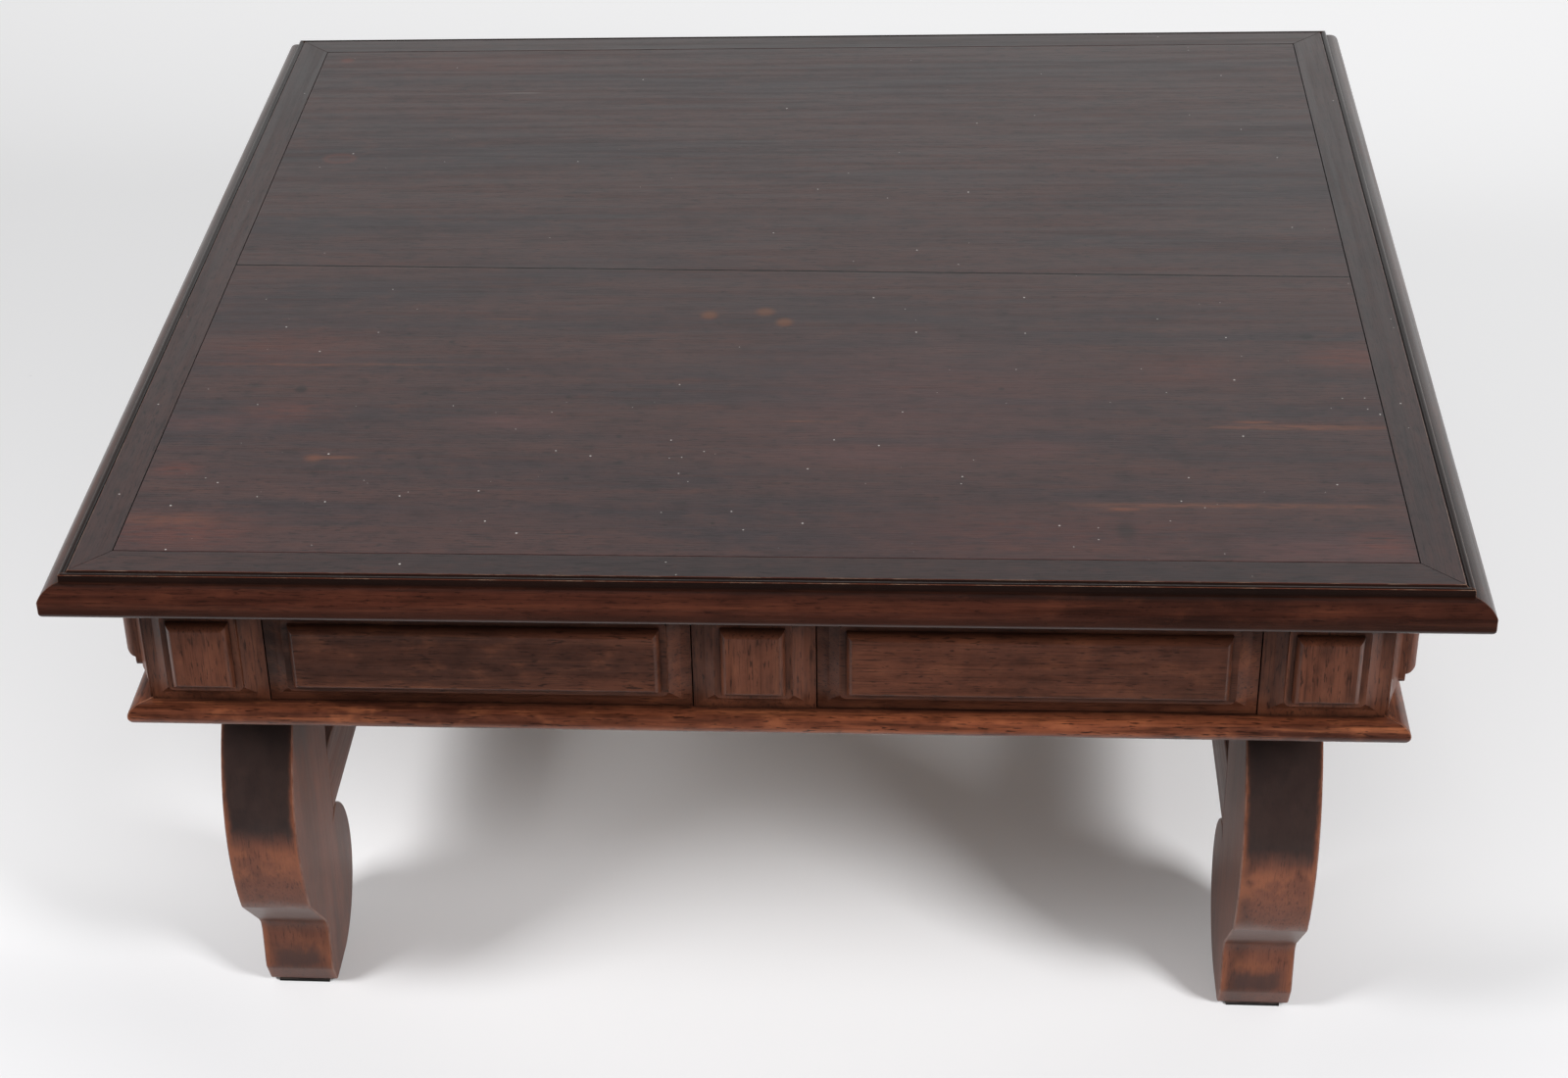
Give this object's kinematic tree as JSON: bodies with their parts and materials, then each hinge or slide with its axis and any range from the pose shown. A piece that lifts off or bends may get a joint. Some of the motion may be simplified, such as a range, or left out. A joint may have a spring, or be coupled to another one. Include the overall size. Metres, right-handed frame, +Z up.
{
  "type": "kang table",
  "caption": "Square low table: framed panel top with a moulded edge, case of raised-field blocks with sliding drawers, scroll-footed plank legs joined by side stretchers.",
  "frame": {"origin": "on the floor, below the middle of the top", "axes": "+X to the right seen from the drawer side, +Y to the back away from the drawers, +Z up"},
  "size_m": [1, 1, 0.49],
  "materials": {
    "top_wood": "satin, dark purplish brown hardwood",
    "case_wood": "satin, dark red-brown hardwood",
    "leg_wood": "satin, red-brown hardwood, worn at the edges",
    "inner_wood": "planed, unpolished secondary wood",
    "peg_wood": "turned wooden pegs, unpolished",
    "felt": "black felt"
  },
  "bodies": {
    "table": {"back_panel_left": "case_wood", "back_panel_right": "case_wood", "base_frame_back": "case_wood", "base_frame_front": "case_wood", "base_frame_left": "case_wood", "base_frame_right": "case_wood", "bearer_left": "leg_wood", "bearer_pegs": "peg_wood", "bearer_right": "leg_wood", "corner_post_back_left": "case_wood", "corner_post_back_right": "case_wood", "corner_post_front_left": "case_wood", "corner_post_front_right": "case_wood", "drawer_guide_centre": "inner_wood", "drawer_guide_left": "inner_wood", "drawer_guide_right": "inner_wood", "drawer_runner_left_inner": "inner_wood", "drawer_runner_left_outer": "inner_wood", "drawer_runner_right_inner": "inner_wood", "drawer_runner_right_outer": "inner_wood", "drawer_stops": "inner_wood", "dust_board_front": "inner_wood", "dust_board_rear": "inner_wood", "foot_pad_back_left": "felt", "foot_pad_back_right": "felt", "foot_pad_front_left": "felt", "foot_pad_front_right": "felt", "leg_back_left": "leg_wood", "leg_back_right": "leg_wood", "leg_front_left": "leg_wood", "leg_front_right": "leg_wood", "middle_block_back": "case_wood", "middle_block_front": "case_wood", "middle_block_left": "case_wood", "middle_block_right": "case_wood", "side_panel_left_front": "case_wood", "side_panel_left_rear": "case_wood", "side_panel_right_front": "case_wood", "side_panel_right_rear": "case_wood", "stretcher_left": "leg_wood", "stretcher_right": "leg_wood", "top_batten_left": "inner_wood", "top_batten_right": "inner_wood", "top_board_front": "top_wood", "top_board_rear": "top_wood", "top_frame_back": "top_wood", "top_frame_front": "top_wood", "top_frame_left": "top_wood", "top_frame_right": "top_wood"},
    "drawer_left": {"drawer_left_back": "inner_wood", "drawer_left_bottom": "inner_wood", "drawer_left_front": "case_wood", "drawer_left_side_left": "inner_wood", "drawer_left_side_right": "inner_wood"},
    "drawer_right": {"drawer_right_back": "inner_wood", "drawer_right_bottom": "inner_wood", "drawer_right_front": "case_wood", "drawer_right_side_left": "inner_wood", "drawer_right_side_right": "inner_wood"}
  },
  "joints": [
    {"name": "drawer_left_slide", "type": "slide", "parent": "table", "child": "drawer_left", "axis": [0, -1, 0], "range_m": [0, 0.36]},
    {"name": "drawer_right_slide", "type": "slide", "parent": "table", "child": "drawer_right", "axis": [0, -1, 0], "range_m": [0, 0.36]}
  ]
}
